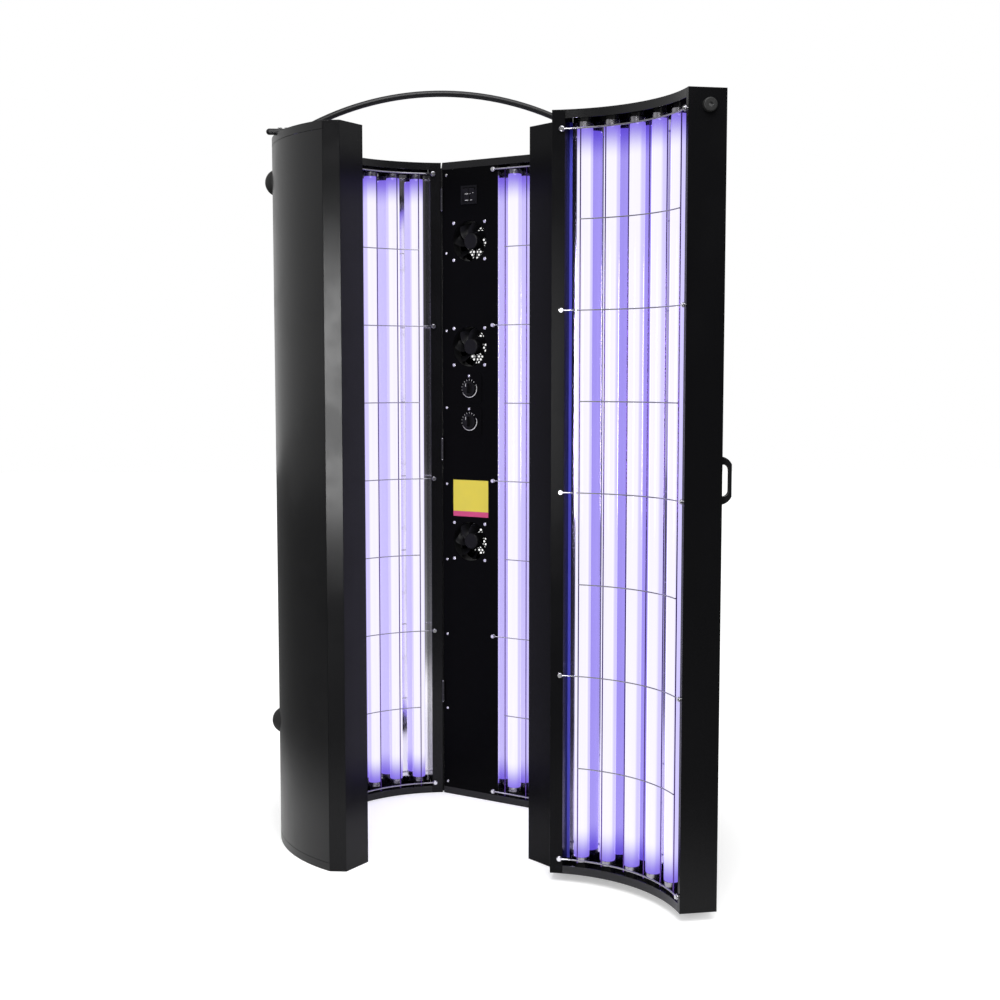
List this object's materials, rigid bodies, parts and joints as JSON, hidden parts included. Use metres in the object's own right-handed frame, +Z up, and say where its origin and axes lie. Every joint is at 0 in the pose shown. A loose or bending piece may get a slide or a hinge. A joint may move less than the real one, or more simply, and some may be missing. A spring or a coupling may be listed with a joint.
{
  "type": "vertical tanning booth",
  "caption": "Stand-up tanning booth: two curved lamp shells under a tube brace, a curved lamp door on one side, wire guards, and a control strip with fans, timers and a rocker switch.",
  "frame": {"origin": "on the floor, under the middle of the whole booth as it stands with its door open", "axes": "+Z up; +Y towards the rear seam where the two shells meet; +X towards the side that carries the door. The doorway opens towards -Y."},
  "size_m": [1.0929, 1.1782, 1.966],
  "materials": {
    "black_shell": "gloss powder coat with a light orange peel",
    "reflector_metal": "polished sheet",
    "wire_chrome": "chrome-plated wire",
    "lamp_glass": "phosphor-coated glass, lit",
    "lamp_metal": "satin",
    "holder_black": "moulded",
    "screw_steel": "bright zinc",
    "hinge_black": "painted black",
    "black_plastic": "moulded, fine grain",
    "brace_black": "satin powder coat",
    "rubber_black": "moulded",
    "ballast_grey": "stove enamel"
  },
  "bodies": {
    "booth": {"brace_screws": "screw_steel", "cable_gland": "black_plastic", "contactor": "black_plastic", "control_panel": "black_shell", "door_hinge_pins": "screw_steel", "fan_frames": "black_plastic", "fan_screws": "screw_steel", "left_bottom_cap": "black_shell", "left_front_post": "black_shell", "left_guard": "wire_chrome", "left_lamps": "lamp_glass", "left_outer_skin": "black_shell", "left_rear_post": "black_shell", "left_reflector": "reflector_metal", "left_top_cap": "black_shell", "panel_screws": "screw_steel", "post_hinge_leaves": "hinge_black", "rear_hinge_leaves_left": "hinge_black", "rear_hinge_leaves_right": "hinge_black", "rear_hinge_pins": "screw_steel", "right_bottom_cap": "black_shell", "right_front_post": "black_shell", "right_guard": "wire_chrome", "right_lamps": "lamp_glass", "right_outer_skin": "black_shell", "right_rear_post": "black_shell", "right_reflector": "reflector_metal", "right_top_cap": "black_shell", "shell_ballasts": "ballast_grey", "shell_guard_studs": "wire_chrome", "shell_lamp_ends": "lamp_metal", "shell_lamp_sockets": "holder_black", "switch_bezel": "black_plastic", "timer_bodies": "black_plastic", "timer_plates": "black_shell", "top_brace": "brace_black", "wall_bumpers": "rubber_black"},
    "door": {"door_ballasts": "ballast_grey", "door_bottom_cap": "black_shell", "door_bumper": "rubber_black", "door_guard": "wire_chrome", "door_guard_studs": "wire_chrome", "door_handle": "brace_black", "door_hinge_leaves": "hinge_black", "door_hinge_post": "black_shell", "door_lamp_ends": "lamp_metal", "door_lamp_sockets": "holder_black", "door_lamps": "lamp_glass", "door_latch_post": "black_shell", "door_outer_skin": "black_shell", "door_reflector": "reflector_metal", "door_screws": "screw_steel", "door_top_cap": "black_shell"},
    "fan_upper": {"fan_rotor_upper": "black_plastic"},
    "fan_middle": {"fan_rotor_middle": "black_plastic"},
    "fan_lower": {"fan_rotor_lower": "black_plastic"},
    "knob_upper": {"timer_knob_upper": "black_plastic"},
    "knob_lower": {"timer_knob_lower": "black_plastic"},
    "rocker_left": {"switch_rocker_left": "black_plastic"},
    "rocker_right": {"switch_rocker_right": "black_plastic"}
  },
  "joints": [
    {"name": "door_swing", "type": "hinge", "parent": "booth", "child": "door", "pos_m": [0.1829, -0.20016, 1.026], "axis": [0, 0, 1], "range_deg": [-132.7, 6]},
    {"name": "fan_spin_upper", "type": "hinge", "parent": "booth", "child": "fan_upper", "pos_m": [0.00149, 0.42671, 1.623], "axis": [-0.5764, -0.8171, 0], "continuous": true},
    {"name": "fan_spin_middle", "type": "hinge", "parent": "booth", "child": "fan_middle", "pos_m": [0.00149, 0.42671, 1.323], "axis": [-0.5764, -0.8171, 0], "continuous": true},
    {"name": "fan_spin_lower", "type": "hinge", "parent": "booth", "child": "fan_lower", "pos_m": [0.00149, 0.42671, 0.76], "axis": [-0.5764, -0.8171, 0], "continuous": true},
    {"name": "timer_turn_upper", "type": "hinge", "parent": "booth", "child": "knob_upper", "pos_m": [0.00063, 0.42549, 1.203], "axis": [0.5764, 0.8171, 0], "range_deg": [0, 300]},
    {"name": "timer_turn_lower", "type": "hinge", "parent": "booth", "child": "knob_lower", "pos_m": [0.00063, 0.42549, 1.108], "axis": [0.5764, 0.8171, 0], "range_deg": [0, 300]},
    {"name": "rocker_tip_left", "type": "hinge", "parent": "booth", "child": "rocker_left", "pos_m": [-0.00778, 0.43265, 1.753], "axis": [0.8171, -0.5764, 0], "range_deg": [-16, 0]},
    {"name": "rocker_tip_right", "type": "hinge", "parent": "booth", "child": "rocker_right", "pos_m": [0.01019, 0.41996, 1.753], "axis": [0.8171, -0.5764, 0], "range_deg": [-16, 0]}
  ]
}
